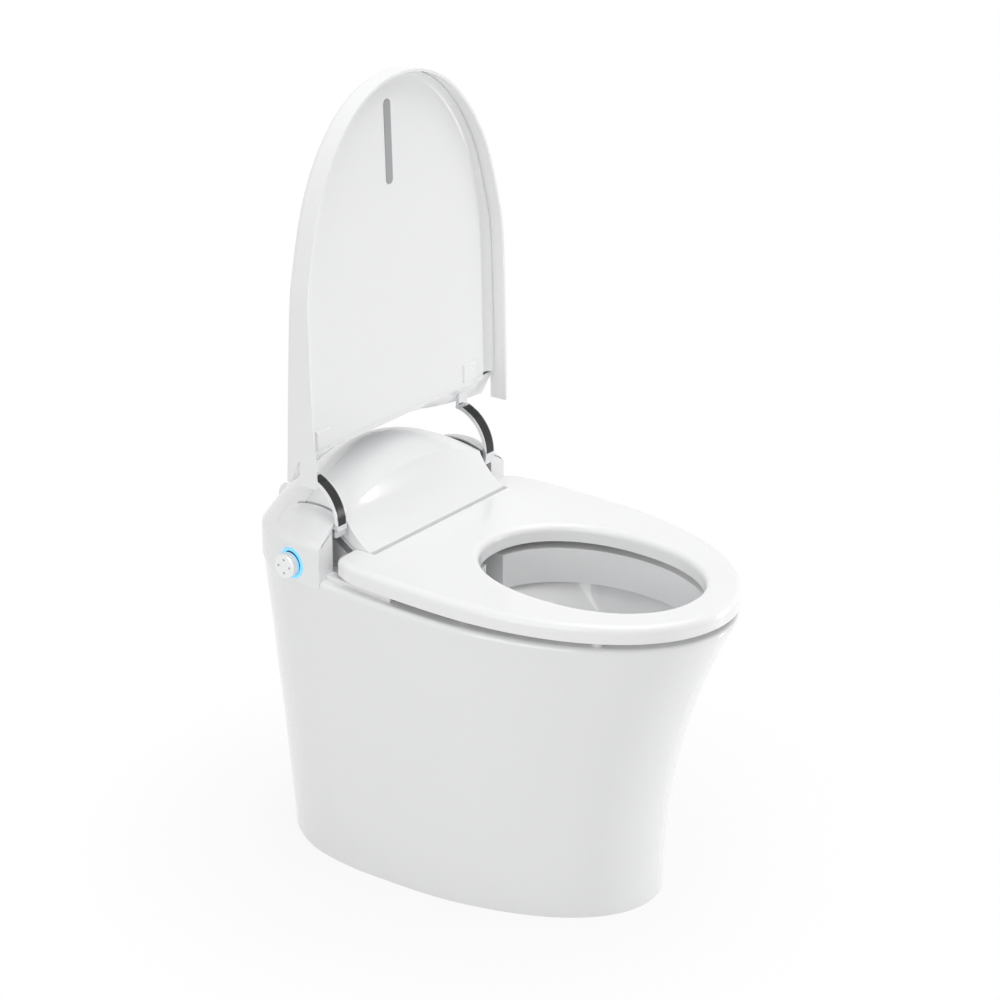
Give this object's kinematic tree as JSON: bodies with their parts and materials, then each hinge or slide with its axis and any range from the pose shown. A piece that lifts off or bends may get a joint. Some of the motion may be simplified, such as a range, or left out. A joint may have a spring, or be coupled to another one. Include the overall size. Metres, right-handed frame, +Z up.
{
  "type": "smart toilet",
  "caption": "One-piece smart toilet: ceramic pedestal bowl, hinged lid and heated seat, domed rear housing, sliding washing nozzle, side knob and warm-air dryer.",
  "frame": {"origin": "centre of the floor outlet, at floor level", "axes": "+Z up, -Y towards the front of the bowl, +X to the right of someone who stands in front of the toilet and faces it"},
  "size_m": [0.3854, 0.659, 0.9964],
  "materials": {
    "vitreous_china": "glossy fired white glaze",
    "white_plastic": "polished moulded white",
    "lid_plastic": "polished moulded white",
    "seat_plastic": "polished moulded white",
    "dark_plastic": "fine matt moulding",
    "grey_plastic": "fine matt moulding",
    "bright_steel": "polished plate",
    "steel": "turned steel",
    "rubber": "soft moulded",
    "black_rubber": "soft moulded",
    "copper_foil": "thin rolled foil",
    "board_green": "lacquered laminate",
    "brass": "turned",
    "blue_light": "frosted translucent",
    "lamp_grey": "frosted translucent"
  },
  "bodies": {
    "root": {"ceramic_body": "vitreous_china", "outlet_seal": "black_rubber", "rear_cover": "white_plastic", "nozzle_cover": "white_plastic", "chassis_plate": "white_plastic", "hinge_pin_right": "steel", "hinge_pin_left": "steel", "hinge_bracket_right": "dark_plastic", "hinge_bracket_left": "dark_plastic", "soft_close_damper_right": "dark_plastic", "soft_close_damper_left": "dark_plastic", "nozzle_sleeve": "grey_plastic", "knob_light_ring": "blue_light", "knob_encoder": "dark_plastic", "water_heater": "grey_plastic", "control_board": "board_green", "board_components": "dark_plastic", "inlet_valve": "brass", "cord_gland": "dark_plastic", "flush_pump": "dark_plastic", "chassis_screw_right": "steel", "chassis_screw_left": "steel", "dryer_case": "grey_plastic"},
    "lid": {"lid_outer_shell": "lid_plastic", "lid_inner_panel": "lid_plastic", "lid_lamp_lens": "lamp_grey", "lid_lamp_board": "board_green", "lid_strap_right": "bright_steel", "lid_strap_left": "bright_steel"},
    "seat": {"seat_top_shell": "seat_plastic", "seat_base_shell": "seat_plastic", "seat_heater": "copper_foil", "seat_buffers": "rubber", "seat_arm_right": "bright_steel", "seat_arm_left": "bright_steel"},
    "nozzle": {"nozzle_rod": "steel", "nozzle_tip": "white_plastic"},
    "knob_plunger": {"knob_shaft": "steel"},
    "knob": {"side_knob": "bright_steel"},
    "fan": {"dryer_impeller": "dark_plastic"}
  },
  "joints": [
    {"name": "lid_hinge", "type": "hinge", "parent": "root", "child": "lid", "pos_m": [0, 0.16, 0.464], "axis": [1, 0, 0], "range_deg": [0, 91.7]},
    {"name": "seat_hinge", "type": "hinge", "parent": "root", "child": "seat", "pos_m": [0, 0.16, 0.464], "axis": [1, 0, 0], "range_deg": [-90, 0]},
    {"name": "nozzle_slide", "type": "slide", "parent": "root", "child": "nozzle", "axis": [0, -0.9397, -0.342], "range_m": [0, 0.1]},
    {"name": "knob_press", "type": "slide", "parent": "root", "child": "knob_plunger", "axis": [1, 0, 0], "range_m": [0, 0.0015], "stiffness_N_per_m": 400},
    {"name": "knob_turn", "type": "hinge", "parent": "knob_plunger", "child": "knob", "pos_m": [-0.182, 0.156, 0.411], "axis": [1, 0, 0], "continuous": true},
    {"name": "fan_spin", "type": "hinge", "parent": "root", "child": "fan", "pos_m": [-0.075, 0.14, 0.406], "axis": [0, 0, 1], "continuous": true}
  ]
}
